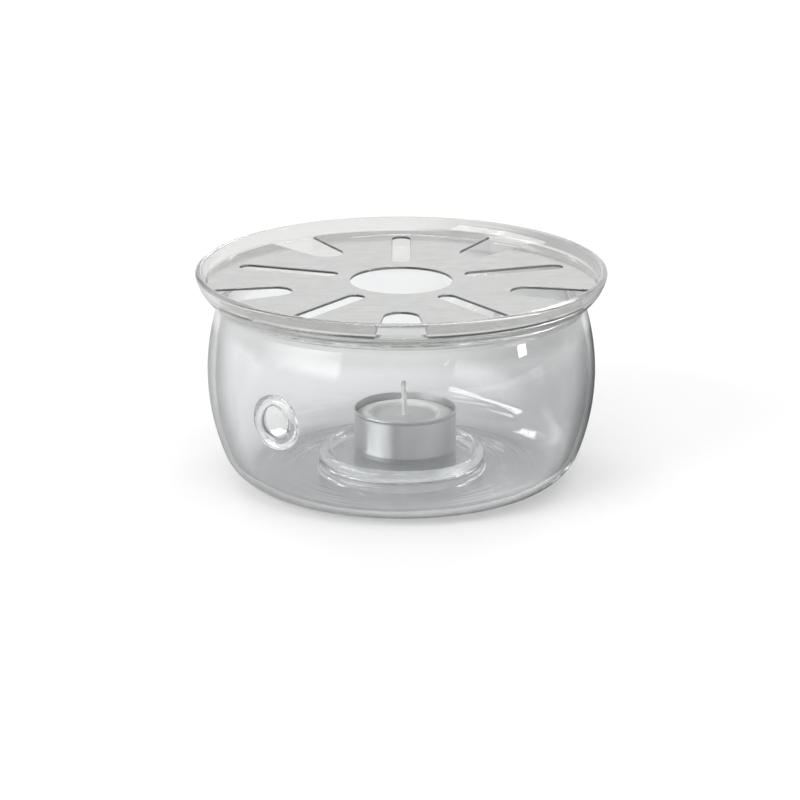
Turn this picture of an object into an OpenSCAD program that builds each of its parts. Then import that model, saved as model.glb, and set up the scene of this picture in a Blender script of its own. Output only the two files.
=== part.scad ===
// Teapot warmer: a blown glass bowl with a candle seat and two air vents, a slotted
// steel plate that rests in the bowl's collar, and a tealight candle.
// Millimetres, +Z up. The origin is the middle of the foot, on the table. -Y is the front.

/* [Glass bowl] */
// Outer diameter of the rim
rim_d = 154; // [140:1:180]
// Overall height of the bowl
bowl_h = 80.5; // [74:0.5:95]
// Thickness of the glass
glass_t = 2.6; // [2:0.1:3.2]
// How far the widest part of the belly lies inside the rim
belly_inset = 4; // [3:0.5:8]
// Height of the widest part of the belly
belly_z = 41; // [36:1:46]
// Radius of the belly's side curve
belly_curve_r = 83.25; // [75:0.25:100]
// Radius of the round corner between side and base
corner_r = 17; // [12:1:22]
// Width of the flat foot ring
foot_w = 4.6; // [3:0.2:8]
// How far the base is raised inside the foot ring
foot_lift = 0.6; // [0.3:0.1:1]

/* [Collar] */
// How far the middle of the collar's curve lies inside the lip
collar_reach = 14; // [12:0.5:18]
// How far the middle of the collar's curve lies above the lip
collar_rise = 3.15; // [1:0.05:5]
// Radius of the hollow at the neck, outside
neck_r = 2.5; // [1:0.5:4]
// Depth of the plate's ledge below the rim
ledge_depth = 6.1; // [5:0.1:7]

/* [Air vents] */
// Diameter of a vent's hole
vent_d = 12; // [8:0.5:16]
// Thickness of the fire-polished ring round a vent
vent_ring_t = 4.2; // [3.2:0.2:5]
// Height of the front vent above the table
vent_z = 37.4; // [30:0.1:46]
// How much higher each further vent lies
vent_step = 6.5; // [0:0.5:9]
// Direction of the front vent, in degrees from +X
vent_turn = 230.5; // [180:0.5:270]
// Number of vents
vent_count = 2; // [1:1:4]

/* [Candle seat] */
// Height of the seat above the table
seat_z = 8.5; // [7.5:0.1:11]
// Room round the candle on its seat
seat_play = 6.15; // [4:0.05:9]
// Height of the ring round the seat
ring_h = 1.7; // [1:0.1:3]
// Radius of the ring's crest
crest_r = 2.25; // [1.75:0.05:3]
// Radius of the hollow between the seat and the ring
seat_fillet_r = 2; // [1:0.1:3]
// Radius of the hollow between the ring and the floor
ring_fillet_r = 2.5; // [2:0.1:4]
// Radius of the upper edge of the hollow under the seat
hollow_round_r = 3; // [2:0.5:4]
// Radius of the lower edge of the hollow under the seat
hollow_edge_r = 2; // [1:0.5:3]

/* [Steel plate] */
// Thickness of the plate
plate_t = 1.2; // [0.8:0.1:2]
// How far the plate's edge lies inside the rim
plate_inset = 4.2; // [4:0.1:5]
// Gap between the plate's edge and the collar
plate_gap = 0.5; // [0.3:0.1:0.8]
// Diameter of the centre hole
centre_hole_d = 38.4; // [30:0.2:44]
// Number of long slots, and of the notches between them
slot_count = 5; // [3:1:6]
// Width of a long slot
slot_w = 7; // [4:0.5:9]
// Metal between the centre hole and a long slot
hole_margin = 6.1; // [4:0.1:9]
// Metal between a long slot and the plate's edge
edge_margin = 8.5; // [5:0.5:14]
// Depth of a notch from the plate's edge
notch_depth = 30; // [16:0.5:34]
// Angle between the two sides of a notch
notch_angle = 15; // [8:0.2:20]

/* [Tealight candle] */
// Diameter of the cup over its rim bead
cup_d = 39.5; // [37:0.1:42]
// Height of the cup
cup_h = 17.1; // [14:0.1:24]
// Thickness of the cup's metal
cup_t = 0.35; // [0.25:0.05:0.5]
// Diameter of the bead round the cup's rim
cup_bead_d = 0.8; // [0.6:0.1:1.2]
// Radius of the cup's bottom corner, outside
cup_corner_r = 1.8; // [1:0.1:3]
// How far the candle stands to the right of the bowl's middle
candle_shift = 1.4; // [0:0.1:2]
// Gap between the wax and the cup's wall
wax_gap = 0.3; // [0.2:0.05:0.5]
// Depth of the wax's edge below the cup's rim
wax_drop = 1.7; // [1:0.1:4]
// Diameter of the sunken middle of the wax
pool_d = 28; // [20:0.5:32]
// Depth of the sunken middle of the wax
pool_depth = 1.9; // [0.6:0.1:2.5]

/* [Wick and clip] */
// Diameter of the wick
wick_d = 2; // [1.4:0.1:2.6]
// Height of the wick above the wax
wick_rise = 14.2; // [8:0.1:18]
// Diameter of the wick clip's foot
clip_d = 12.6; // [9:0.2:15]
// Thickness of the wick clip's metal
clip_t = 0.3; // [0.2:0.05:0.4]
// Height of the wick clip's neck above its foot
clip_neck_h = 4; // [2.5:0.5:6]
// Clearance round the pieces that are bedded in the wax
bed_gap = 0.1; // [0.05:0.05:0.2]

/* [Hidden] */
$fn = 96;
// How far a round cuts into the lines that it blends with, at the neck and in the notches
blend_overlap = 0.002;

// Glass bowl: centres and tangent points of its side curves
rim_r = rim_d / 2;
belly_c = [rim_r - belly_inset - belly_curve_r, belly_z];
corner_c = [belly_c.x + other_side(belly_curve_r - corner_r, belly_z - corner_r), corner_r];
corner_dir = (corner_c - belly_c) / norm(corner_c - belly_c);
lip_c = [rim_r - glass_t / 2, bowl_h - glass_t / 2];
collar_c = lip_c + [-collar_reach, collar_rise];
collar_curve_r = norm(lip_c - collar_c) + glass_t / 2;
neck_c = circles_meet(belly_c, belly_curve_r + neck_r, collar_c, collar_curve_r + neck_r);
neck_low_dir = (neck_c - belly_c) / norm(neck_c - belly_c);
neck_high_dir = (neck_c - collar_c) / norm(neck_c - collar_c);

// Glass bowl: seat ring, whose crest and hollows touch one another smoothly
cup_r = cup_d / 2;
seat_hollow_c = [cup_r + seat_play, seat_z + seat_fillet_r];
crest_z = seat_z + ring_h - crest_r;
crest_c = [
    seat_hollow_c.x + other_side(crest_r + seat_fillet_r, seat_hollow_c.y - crest_z),
    crest_z
];
ring_hollow_z = glass_t + ring_fillet_r;
ring_hollow_c = [
    crest_c.x + other_side(crest_r + ring_fillet_r, crest_z - ring_hollow_z),
    ring_hollow_z
];
hollow_r = crest_c.x + crest_r - glass_t;
hollow_z = seat_z - glass_t;
disc_r = seat_hollow_c.x - seat_fillet_r / 2;

// Glass bowl: vents
vent_ring_r = (vent_d + vent_ring_t) / 2;

// Steel plate
plate_r = rim_r - plate_inset;
ledge_z = bowl_h - ledge_depth;
centre_hole_r = centre_hole_d / 2;
slot_in_r = centre_hole_r + hole_margin;
slot_out_r = plate_r - edge_margin;
slot_turn = 360 / slot_count;
notch_end_r = (plate_r - notch_depth) / (1 - sin(notch_angle / 2));
notch_round_r = notch_end_r * sin(notch_angle / 2);

// Candle
cup_wall_r = cup_r - cup_bead_d + cup_t;
cup_top_z = seat_z + cup_h;
wax_r = cup_wall_r - cup_t - wax_gap;
wax_bottom_z = seat_z + cup_t;
wax_top_z = cup_top_z - wax_drop;
pool_curve_r = (pow(pool_d / 2, 2) + pow(pool_depth, 2)) / (2 * pool_depth);
pool_z = wax_top_z - pool_depth;
wick_r = wick_d / 2;
clip_bore_r = wick_r + bed_gap;
clip_neck_r = clip_bore_r + clip_t;
clip_top_z = wax_bottom_z + clip_t;

// The outer one of the two points where two circles in the section cross
function circles_meet(c1, r1, c2, r2) =
    let (
        gap = norm(c2 - c1),
        along = (c2 - c1) / gap,
        across = [along.y, -along.x],
        reach = (gap * gap + r1 * r1 - r2 * r2) / (2 * gap)
    )
    c1 + reach * along + other_side(r1, reach) * across;

// The other short side of a right-angled triangle
function other_side(longest, side) = sqrt(longest * longest - side * side);

// Distance from the bowl's axis to the middle of a vent at a height
function vent_reach(z) =
    let (wall_r = belly_c.x + other_side(belly_curve_r - glass_t / 2, z - belly_z))
    (wall_r + other_side(wall_r, vent_ring_r)) / 2;

// Turns a section, drawn as radius and height, into a round solid
module lathe() {
    rotate_extrude() children();
}

// The bowl's half section, filled, with its whole surface moved inwards by inset
module side_outline(inset) {
    difference() {
        union() {
            belly_outline(inset);
            translate(collar_c) circle(collar_curve_r - inset);
            neck_outline(inset);
        }
        translate(neck_c) circle(neck_r + inset + blend_overlap);
    }
}

// Belly and base, joined by the round corner
module belly_outline(inset) {
    tangent_z = belly_c.y + corner_dir.y * (belly_curve_r - inset);
    intersection() {
        translate(belly_c) circle(belly_curve_r - inset);
        translate([0, tangent_z]) square([rim_r, bowl_h]);
    }
    translate(corner_c) circle(corner_r - inset);
    translate([0, inset]) square([corner_c.x, corner_r - inset]);
}

// Fills the angle between the belly and the collar, for the hollow of the neck
module neck_outline(inset) {
    low = belly_c + (belly_curve_r - inset) * neck_low_dir;
    high = collar_c + (collar_curve_r - inset) * neck_high_dir;
    top_z = collar_c.y + collar_curve_r;
    polygon([low, neck_c, high, collar_c, [0, top_z], [0, low.y]]);
}

// Everything below the line that ends the collar at its lip
module under_rim() {
    past_lip = collar_c + 2 * (lip_c - collar_c);
    polygon([[0, 0], [past_lip.x, 0], past_lip, collar_c, [0, collar_c.y]]);
}

// Raised seat and the smooth ring round it, filled down to the table
module seat_outline() {
    square([seat_hollow_c.x, seat_z]);
    difference() {
        polygon([[seat_hollow_c.x, 0], [crest_c.x, 0], crest_c, seat_hollow_c]);
        translate(seat_hollow_c) circle(seat_fillet_r);
    }
    difference() {
        polygon([[crest_c.x, 0], [ring_hollow_c.x, 0], ring_hollow_c, crest_c]);
        translate(ring_hollow_c) circle(ring_fillet_r);
    }
    translate(crest_c) circle(crest_r);
}

// Hollow under the seat with its round edge, and the slight rise of the base inside the foot ring
module base_hollow() {
    foot_in_r = corner_c.x - foot_w;
    edge_c = [hollow_r + hollow_edge_r, foot_lift + hollow_edge_r];
    polygon([[0, 0], [foot_in_r, 0], [edge_c.x, foot_lift], [0, foot_lift]]);
    difference() {
        square(edge_c);
        translate(edge_c) circle(hollow_edge_r);
    }
    square([hollow_r, hollow_z - hollow_round_r]);
    square([hollow_r - hollow_round_r, hollow_z]);
    translate([hollow_r - hollow_round_r, hollow_z - hollow_round_r]) circle(hollow_round_r);
}

// Half section of the glass, without the disc in the middle of the seat
module glass_section() {
    difference() {
        union() {
            intersection() {
                difference() {
                    side_outline(0);
                    side_outline(glass_t);
                }
                under_rim();
            }
            translate(lip_c) circle(d = glass_t);
            seat_outline();
        }
        base_hollow();
        square([disc_r, bowl_h]);
        translate([0, ledge_z]) square([plate_r + plate_gap, bowl_h]);
    }
}

// Places its children at each vent, with +Z along the vent
module at_vents() {
    for (i = [0 : vent_count - 1]) {
        z = vent_z + i * vent_step;
        rotate(vent_turn + i * 360 / vent_count)
            translate([vent_reach(z), 0, z])
                rotate([0, 90, 0])
                    children();
    }
}

// Long slot with round ends, along +X
module slot_outline() {
    half_w = slot_w / 2;
    first = slot_in_r + half_w;
    last = slot_out_r - half_w;
    translate([first, 0]) circle(half_w);
    translate([last, 0]) circle(half_w);
    translate([first, -half_w]) square([last - first, slot_w]);
}

// Notch with a round inner end, open at the plate's edge and widening towards it, along +X
module notch_outline() {
    half_w = notch_round_r - blend_overlap;
    translate([notch_end_r, 0]) {
        circle(notch_round_r);
        for (half_turn = [-notch_angle / 2, notch_angle / 2]) {
            rotate(half_turn)
                translate([0, -half_w])
                    square([plate_r, 2 * half_w]);
        }
    }
}

// Glass bowl with its collar, vents and the ring round the candle seat
module glass_bowl() {
    color("lightcyan", 0.4) {
        difference() {
            lathe() glass_section();
            at_vents() cylinder(r = vent_ring_r, h = 2 * vent_ring_t, center = true);
        }
        at_vents() lathe() translate([vent_ring_r, 0]) circle(d = vent_ring_t);
    }
}

// Flat glass disc under the candle, melted into the bowl's ring
module seat_disc() {
    color("lightcyan", 0.4) translate([0, 0, hollow_z]) cylinder(r = disc_r, h = glass_t);
}

// Round steel plate that carries the pot and lets the heat through
module pot_plate() {
    color("silver") translate([0, 0, ledge_z]) linear_extrude(plate_t) {
        difference() {
            circle(plate_r);
            circle(centre_hole_r);
            for (i = [0 : slot_count - 1]) {
                rotate(90 + i * slot_turn) slot_outline();
                rotate(270 + i * slot_turn) notch_outline();
            }
        }
    }
}

// Drawn aluminium cup of the tealight, with a bead round its rim
module candle_cup() {
    corner = [cup_wall_r - cup_corner_r, cup_corner_r];
    color("gainsboro") translate([candle_shift, 0, seat_z]) lathe() {
        difference() {
            union() {
                square([corner.x, cup_h / 2]);
                translate([0, corner.y]) square([cup_wall_r, cup_h - cup_bead_d / 2 - corner.y]);
                translate(corner) circle(cup_corner_r);
            }
            translate([0, cup_t]) square([corner.x, cup_h]);
            translate([0, corner.y]) square([cup_wall_r - cup_t, cup_h]);
            translate(corner) circle(cup_corner_r - cup_t);
        }
        translate([cup_r - cup_bead_d / 2, cup_h - cup_bead_d / 2]) circle(d = cup_bead_d);
    }
}

// Wax with a sunken middle, cast round the clip and the wick
module candle_wax() {
    edge_r = cup_corner_r - cup_t;
    corner = [wax_r - edge_r, wax_bottom_z + edge_r];
    color("white") translate([candle_shift, 0]) lathe() {
        difference() {
            union() {
                translate([0, wax_bottom_z]) square([corner.x, edge_r]);
                translate([0, corner.y]) square([wax_r, wax_top_z - corner.y]);
                translate(corner) circle(edge_r);
            }
            translate([0, pool_z + pool_curve_r]) circle(pool_curve_r);
            square([clip_d / 2 + bed_gap, clip_top_z + bed_gap]);
            square([clip_neck_r + bed_gap, clip_top_z + clip_neck_h + bed_gap]);
            square([clip_bore_r, wax_top_z]);
        }
    }
}

// Waxed cotton wick with a rounded tip
module candle_wick() {
    length = pool_z + wick_rise - clip_top_z;
    color("ivory") translate([candle_shift, 0, clip_top_z]) lathe() {
        square([wick_r, length - wick_r]);
        intersection() {
            translate([0, length - wick_r]) circle(wick_r);
            square([wick_r, length]);
        }
    }
}

// Tin clip under the wick: a round foot with a neck that grips the wick
module wick_clip() {
    color("lightgrey") translate([candle_shift, 0, wax_bottom_z]) lathe() {
        square([clip_d / 2, clip_t]);
        translate([clip_bore_r, 0]) square([clip_t, clip_t + clip_neck_h]);
    }
}

glass_bowl();
seat_disc();
pot_plate();
candle_cup();
candle_wax();
candle_wick();
wick_clip();
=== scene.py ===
import math

import bpy
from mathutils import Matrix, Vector
from mathutils.geometry import tessellate_polygon


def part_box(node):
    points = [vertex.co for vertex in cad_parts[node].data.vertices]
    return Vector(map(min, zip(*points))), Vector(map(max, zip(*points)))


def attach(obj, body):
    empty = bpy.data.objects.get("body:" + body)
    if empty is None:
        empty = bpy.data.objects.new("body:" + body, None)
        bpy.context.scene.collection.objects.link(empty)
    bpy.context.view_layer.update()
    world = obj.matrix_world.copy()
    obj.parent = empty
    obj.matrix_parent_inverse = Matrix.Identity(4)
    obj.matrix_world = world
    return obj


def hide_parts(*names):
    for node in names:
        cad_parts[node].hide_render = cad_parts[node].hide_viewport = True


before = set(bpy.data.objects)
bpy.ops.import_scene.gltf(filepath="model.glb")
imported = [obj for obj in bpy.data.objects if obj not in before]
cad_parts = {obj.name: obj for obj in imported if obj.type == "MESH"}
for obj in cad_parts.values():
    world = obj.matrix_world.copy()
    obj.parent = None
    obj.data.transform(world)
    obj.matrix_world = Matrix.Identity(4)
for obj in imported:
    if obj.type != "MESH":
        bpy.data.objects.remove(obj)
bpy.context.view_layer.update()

# Teapot warmer: blown glass bowl, slotted steel plate and tealight.
# Lengths below are in millimetres, and MM turns them into the frame's metres. -Y is the front.
MM = 0.001


def node_box(name):
    """Lowest and highest corner of a CAD node, in millimetres."""
    low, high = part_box(name)
    return low / MM, high / MM


# Sizes read from the frame
BOWL_HIGH = node_box("glass_bowl")[1]
PLATE_LOW, PLATE_HIGH = node_box("pot_plate")
CUP_LOW, CUP_HIGH = node_box("candle_cup")
WAX_LOW, WAX_HIGH = node_box("candle_wax")
WICK_LOW, WICK_HIGH = node_box("candle_wick")
CLIP_LOW, CLIP_HIGH = node_box("wick_clip")
RIM_R = BOWL_HIGH.x
BOWL_H = BOWL_HIGH.z
PLATE_R = PLATE_HIGH.y
CANDLE_X = (CUP_LOW.x + CUP_HIGH.x) / 2
CUP_R = (CUP_HIGH.x - CUP_LOW.x) / 2
SEAT_Z = CUP_LOW.z
WAX_R = (WAX_HIGH.x - WAX_LOW.x) / 2
WICK_R = (WICK_HIGH.x - WICK_LOW.x) / 2
CLIP_R = (CLIP_HIGH.x - CLIP_LOW.x) / 2

# Glass bowl, as in the part
GLASS_T = 2.6
BELLY_INSET = 4
BELLY_Z = 41
BELLY_CURVE_R = 83.25
CORNER_R = 17
FOOT_W = 4.6
FOOT_LIFT = 0.6
COLLAR_REACH = 14
COLLAR_RISE = 3.15
NECK_R = 2.5
PLATE_GAP = 0.5
RING_H = 1.7
CREST_R = 2.25
SEAT_PLAY = 6.15
SEAT_FILLET_R = 2
RING_FILLET_R = 2.5
HOLLOW_ROUND_R = 3
HOLLOW_EDGE_R = 2

# Rounds on the plate's ledge, and the angles on the collar's curve from which they start and aim
LEDGE_ROUND_R = 0.5
LEDGE_CORNER_R = 0.35
LEDGE_FREE_ANGLE = 3
LEDGE_AIM_ANGLE = 4

# Air vents, with the window of wall that each one's mesh takes the place of
VENT_R = 6
VENT_TUBE_R = 2.1
VENT_Z = 37.4
VENT_STEP = 6.5
VENT_TURN = 230.5
VENT_COUNT = 2
VENT_BLEND = 0.7
WINDOW_COLUMNS = 8
WINDOW_REACH = 14.5

# Waves of blown glass as (waves round the bowl, height of a radian, share, part of the phase)
WAVES = ((3, 17, 1, 1), (7, -11, 0.7, 2.1), (12, 8, 0.5, 3.7))
OUTER_WAVE = 0.05
OUTER_PHASE = 1.0
INNER_WAVE = 0.09
INNER_PHASE = 2.6
WAVE_START_Z = (2, 12)
WAVE_END_Z = (62, 70)
WAVE_START_R = (34, 46)

# Ripples in the glass floor as (share, radians per millimetre, wander, waves round the bowl)
RIPPLES = ((0.6, 1.5, 0.8, 3), (0.4, 3.1, 1, 5))
RIPPLE_RELIEF = 0.08
RIPPLE_START_R = (34, 38)
RIPPLE_END_R = (54, 58)

# Steel plate
HOLE_R = 19.2
SLOT_COUNT = 5
SLOT_W = 7
SLOT_IN_R = 25.3
SLOT_OUT_R = 64.3
FIRST_SLOT = 90
NOTCH_DEPTH = 30
NOTCH_HALF_ANGLE = 7.5
NOTCH_CORNER_R = 0.8
FIRST_NOTCH = 270
PLATE_EDGE_R = 0.35

# Tealight cup
CUP_T = 0.35
CUP_BEAD_R = 0.4
BEAD_START = -80
CUP_CORNER_R = 1.8
BASE_DENT = 0.15
STAND_W = 1

# Wax, with its fall to the cup and its climb up the wick; the pool's slope lies in from its edge,
# and its wander is (reach, waves round, phase)
POOL_DEPTH = 1.9
POOL_R = 14
POOL_SLOPE = (2.2, 0.2)
POOL_WANDER = ((0.35, 3, 1), (0.25, 7, 2))
EDGE_FALL = 1.1
EDGE_START = 1.2
EDGE_BEVEL = 0.05
CLIMB_H = 0.6
CLIMB_REACH = 0.8
CLIP_T = 0.3
BED_GAP = 0.1

# Wick; its grooves and its blunt tip are shares of its radius
STRANDS = 3
PLAIT_PITCH = 5.2
GROOVE = 0.26
LEAN = 0.45
LEAN_POWER = 1.5
TIP_SHARE = 0.02

# Thin air gap where one piece rests on another, so that each keeps its own surface
REST_GAP = 0.02

# Fineness of the meshes
GLASS_COLUMNS = 240
BELLY_STEPS = 32
VENT_APPROACH_STEPS = 4
VENT_WALL_STEPS = 14
VENT_LIP_STEPS = 16
CANDLE_COLUMNS = 128
WAX_TOP_STEPS = 60
WICK_COLUMNS = 36
WICK_ROWS = 150

# Colours; a pair is the darkest and the lightest tone of an uneven surface
# Painted shade: the glass's grey tint stands for the greyer surround seen through it, uneven with smears
GLASS_SHADE_TONES = (0.85, 0.861, 0.866), (0.875, 0.883, 0.887)
# Painted shade at the glass's grazing edges, for dark surroundings mirrored there
GLASS_PAINTED_EDGE_SHADE = (0.05, 0.052, 0.055)
# Painted shade: the collar and a band below the neck are a darker grey than the wall
GLASS_COLLAR_SHADE = (0.75, 0.752, 0.745)
GLASS_BODY = (0.4, 0.45, 0.45, 1)
STEEL_TONES = (0.5, 0.5, 0.495), (0.62, 0.62, 0.615)
# Painted shade on the plate's cut edges
STEEL_PAINTED_EDGE_SHADE = (0.16, 0.16, 0.165)
ALUMINIUM_TONES = (0.48, 0.485, 0.49), (0.69, 0.695, 0.7)
WAX_TONES = (0.90, 0.90, 0.885), (0.96, 0.96, 0.95)
# The pool's tones: partly the melted wax's clearer grey, partly painted shade
POOL_MELT_AND_SHADE_TONES = (0.67, 0.67, 0.655), (0.73, 0.73, 0.715)
WICK_TONES = (0.90, 0.895, 0.88), (0.97, 0.965, 0.95)
WICK_TIP = (0.5, 0.5, 0.48)
TIN_TONES = (0.58, 0.58, 0.57), (0.72, 0.72, 0.71)
FLOOR_GREY = (0.52, 0.52, 0.52)
WHITE = (1, 1, 1, 1)
BLACK = (0, 0, 0, 1)

# Range in which most values of a noise lie
USUAL_NOISE = (0.3, 0.7)

# Where tints change: below the neck's curve, where the collar's painted shade starts, inside the pool's edge
# and below the wick's top
COLLAR_TINT_BELOW = (8, 4)
POOL_TINT_INSIDE = (2.2, 0.8)
POOL_TINT_WANDER = 1.2
WICK_TIP_L = 2

# Camera, fitted to the photograph's rim and foot
CAMERA_AIM = (-0.5, 0, 28.4)
CAMERA_DISTANCE = 1300
CAMERA_ELEVATION = 17.5
CAMERA_LENS = 154.6

# Floor: its own white over a distance from the middle, and the painted shadow and painted light where the
# object shows it, with the painted shadow's fade on the right in radii of the rim
FLOOR_HALF = 4000
FLOOR_DROP = 0.1
FLOOR_WHITE = (0.355, 0.64)
FLOOR_WHITE_REACH = (200, 1800)
PAINTED_SHADOW_RIGHT_FADE = (1.2, 2.5)
PAINTED_SHADOW_BEHIND = 0.45
PAINTED_FRONT_SHADE_AND_LIGHT = (-0.4, 0.6)

# Dark card: its tones from left to right, and their fade to the tone of its rim
DARK_CARD_HALF = 700
DARK_CARD_DROP = 0.05
DARK_CARD_TONES = (0.6, 0.1)
DARK_CARD_FADE = (200, 700)
DARK_CARD_RIM = 0.95

# White card and light
GLOW_CARD_TURN = -66
GLOW_CARD_RISE = 10
GLOW_CARD_DISTANCE = 1000
GLOW_CARD_HALF_W = 560
GLOW_CARD_HALF_H = 190
WORLD_LIGHT = 0.7
LIGHT_BOUNCES = 96


# Geometry helpers

def polar(centre, radius, angle):
    """Point at an angle, in degrees, on a circle."""
    a = math.radians(angle)
    return (centre[0] + radius * math.cos(a), centre[1] + radius * math.sin(a))


def arc(centre, radius, start, end, steps):
    """Points on an arc, both ends included, with angles in degrees."""
    return [polar(centre, radius, start + (end - start) * i / steps) for i in range(steps + 1)]


def line(start, end, steps):
    """Points on a straight line, both ends included."""
    return [
        tuple(a + (b - a) * i / steps for a, b in zip(start, end))
        for i in range(steps + 1)
    ]


def direction(start, end):
    """Angle of the way from one point to another, in degrees."""
    return math.degrees(math.atan2(end[1] - start[1], end[0] - start[0]))


def other_side(longest, side):
    """The other short side of a right-angled triangle."""
    return math.sqrt(max(longest * longest - side * side, 0))


def circles_meet(c1, r1, c2, r2):
    """The outer one of the two points where two circles in a section cross."""
    gap = math.dist(c1, c2)
    along = ((c2[0] - c1[0]) / gap, (c2[1] - c1[1]) / gap)
    reach = (gap * gap + r1 * r1 - r2 * r2) / (2 * gap)
    off = other_side(r1, reach)
    return (c1[0] + reach * along[0] + off * along[1], c1[1] + reach * along[1] - off * along[0])


def softened(before, corner, after, radius, steps=4):
    """Points of a small round that takes the place of a corner."""
    p, a, b = Vector(corner), Vector(before), Vector(after)
    u, v = (a - p).normalized(), (b - p).normalized()
    half = u.angle(v) / 2
    cut = radius / math.tan(half)
    start, end = p + u * cut, p + v * cut
    centre = p + (u + v).normalized() * (radius / math.sin(half))
    points = []
    for i in range(steps + 1):
        spoke = (start - centre).lerp(end - centre, i / steps)
        points.append(tuple(centre + spoke.normalized() * radius))
    return points


def chain(*runs):
    """Joins runs of points and leaves out a point that repeats the one before it."""
    same = 1e-4
    points = []
    for run in runs:
        for p in run:
            if not points or math.dist(points[-1], p) > same:
                points.append(p)
    return points


def smooth_max(a, b, width):
    """The larger of two values, with a soft change between them."""
    share = max(width - abs(a - b), 0) / width
    return max(a, b) + share * share * width / 4


def smooth_step(x, low, high):
    """0 below low, 1 above high and a soft rise between."""
    t = min(max((x - low) / (high - low), 0), 1)
    return t * t * (3 - 2 * t)


def between(x, start, end):
    """1 between two soft limits, each given as the two ends of its slope, and 0 outside them."""
    return smooth_step(x, *start) * (1 - smooth_step(x, *end))


def metres(*lengths):
    """Lengths in metres."""
    return tuple(length * MM for length in lengths)


# Mesh helpers

def make_piece(name, points, faces, body, nodes, material, flat_faces=()):
    """A mesh piece from points in millimetres that stands for CAD nodes and rides on their body."""
    mesh = bpy.data.meshes.new(name)
    mesh.from_pydata([metres(*p) for p in points], [], faces)
    mesh.validate()
    flat = set(flat_faces)
    for i, polygon in enumerate(mesh.polygons):
        polygon.use_smooth = i not in flat
    mesh.materials.append(material)
    piece = bpy.data.objects.new(name, mesh)
    bpy.context.scene.collection.objects.link(piece)
    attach(piece, body)
    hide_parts(*nodes)
    return piece


def lathe(section, columns, centre_x=0, start=0):
    """Points, faces and rings of a section turned round an upright axis, from a start angle on."""
    on_axis = 1e-6
    points, rows, faces = [], [], []
    first = math.radians(start)
    for r, z in section:
        if r < on_axis:
            rows.append([len(points)] * columns)
            points.append((centre_x, 0, z))
            continue
        rows.append(list(range(len(points), len(points) + columns)))
        for k in range(columns):
            a = first + 2 * math.pi * k / columns
            points.append((centre_x + r * math.cos(a), r * math.sin(a), z))
    for low, high in zip(rows, rows[1:]):
        faces += ring_faces(low, high)
    return points, faces, rows


def ring_face(low, high, k):
    """The face between two rings of points, a triangle where one of them is on the axis."""
    following = (k + 1) % len(low)
    corners = [low[k], low[following], high[following], high[k]]
    return list(dict.fromkeys(corners))


def ring_faces(low, high):
    """All the faces between two rings of points."""
    return [ring_face(low, high, k) for k in range(len(low))]


# Node helpers

def node_maker(tree):
    """A function that adds a node to a tree, with its settings and its inputs' values or links."""
    def add(kind, inputs=None, **settings):
        item = tree.nodes.new(kind)
        for key, value in settings.items():
            setattr(item, key, value)
        for key, value in (inputs or {}).items():
            if isinstance(value, bpy.types.NodeSocket):
                tree.links.new(value, item.inputs[key])
            else:
                item.inputs[key].default_value = value
        return item

    return add


def new_material(name):
    """A material with its shader, its node maker and its linking function."""
    material = bpy.data.materials.new(name)
    material.use_nodes = True
    tree = material.node_tree
    return material, tree.nodes["Principled BSDF"], node_maker(tree), tree.links.new


def set_inputs(shader, values):
    """Sets sockets of a shader that are the same all over the surface."""
    for name, value in values.items():
        shader.inputs[name].default_value = value


def object_coords(add, stretch=None):
    """Object coordinates, stretched if a stretch is given."""
    coords = add("ShaderNodeTexCoord").outputs["Object"]
    if stretch is None:
        return coords
    return add("ShaderNodeMapping", {"Vector": coords, "Scale": stretch}).outputs["Vector"]


def split(add, vector):
    """The outputs X, Y and Z of a vector."""
    return add("ShaderNodeSeparateXYZ", {0: vector}).outputs


def height(add):
    """Height above the table."""
    return split(add, object_coords(add))["Z"]


def length(add, vector):
    """Length of a vector."""
    return add("ShaderNodeVectorMath", {0: vector}, operation="LENGTH").outputs["Value"]


def calculate(add, operation, *values):
    """Result of one operation on one or two values."""
    return add("ShaderNodeMath", dict(enumerate(values)), operation=operation).outputs[0]


def noise(add, vector, scale, detail=2.0, roughness=0.5):
    """Noise texture from 0 to 1."""
    item = add(
        "ShaderNodeTexNoise",
        {"Vector": vector, "Scale": scale, "Detail": detail, "Roughness": roughness},
    )
    return item.outputs["Fac"]


def remap(add, value, source, target, kind="LINEAR"):
    """Turns a value between the source's ends into one between the target's ends."""
    ends = {"From Min": source[0], "From Max": source[1], "To Min": target[0], "To Max": target[1]}
    item = add("ShaderNodeMapRange", {"Value": value, **ends}, interpolation_type=kind)
    return item.outputs["Result"]


def soft_remap(add, value, source, target):
    """Remap with a soft start and end."""
    return remap(add, value, source, target, "SMOOTHSTEP")


def opaque(colour):
    """A colour with its fourth value; another node's output stays as it is."""
    return colour if isinstance(colour, bpy.types.NodeSocket) else (*colour, 1)


def blend_colours(add, factor, first, second):
    """A colour between two, by a factor from 0 to 1."""
    inputs = {0: factor, 6: opaque(first), 7: opaque(second)}
    return add("ShaderNodeMix", inputs, data_type="RGBA").outputs[2]


def bump(add, relief, strength, distance, **more):
    """Normal that follows a relief."""
    inputs = {"Height": relief, "Strength": strength, "Distance": distance, **more}
    return add("ShaderNodeBump", inputs).outputs["Normal"]


def round_coords(add, centre_x, around, along):
    """Coordinates round an upright axis: the way round and the height, each with its own stretch."""
    x, y, z = split(add, object_coords(add))
    angle = calculate(add, "ARCTAN2", y, calculate(add, "SUBTRACT", x, centre_x * MM))
    stretched = {
        "X": calculate(add, "MULTIPLY", calculate(add, "COSINE", angle), around),
        "Y": calculate(add, "MULTIPLY", calculate(add, "SINE", angle), around),
        "Z": calculate(add, "MULTIPLY", z, along),
    }
    return add("ShaderNodeCombineXYZ", stretched).outputs["Vector"]


# Materials

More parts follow.
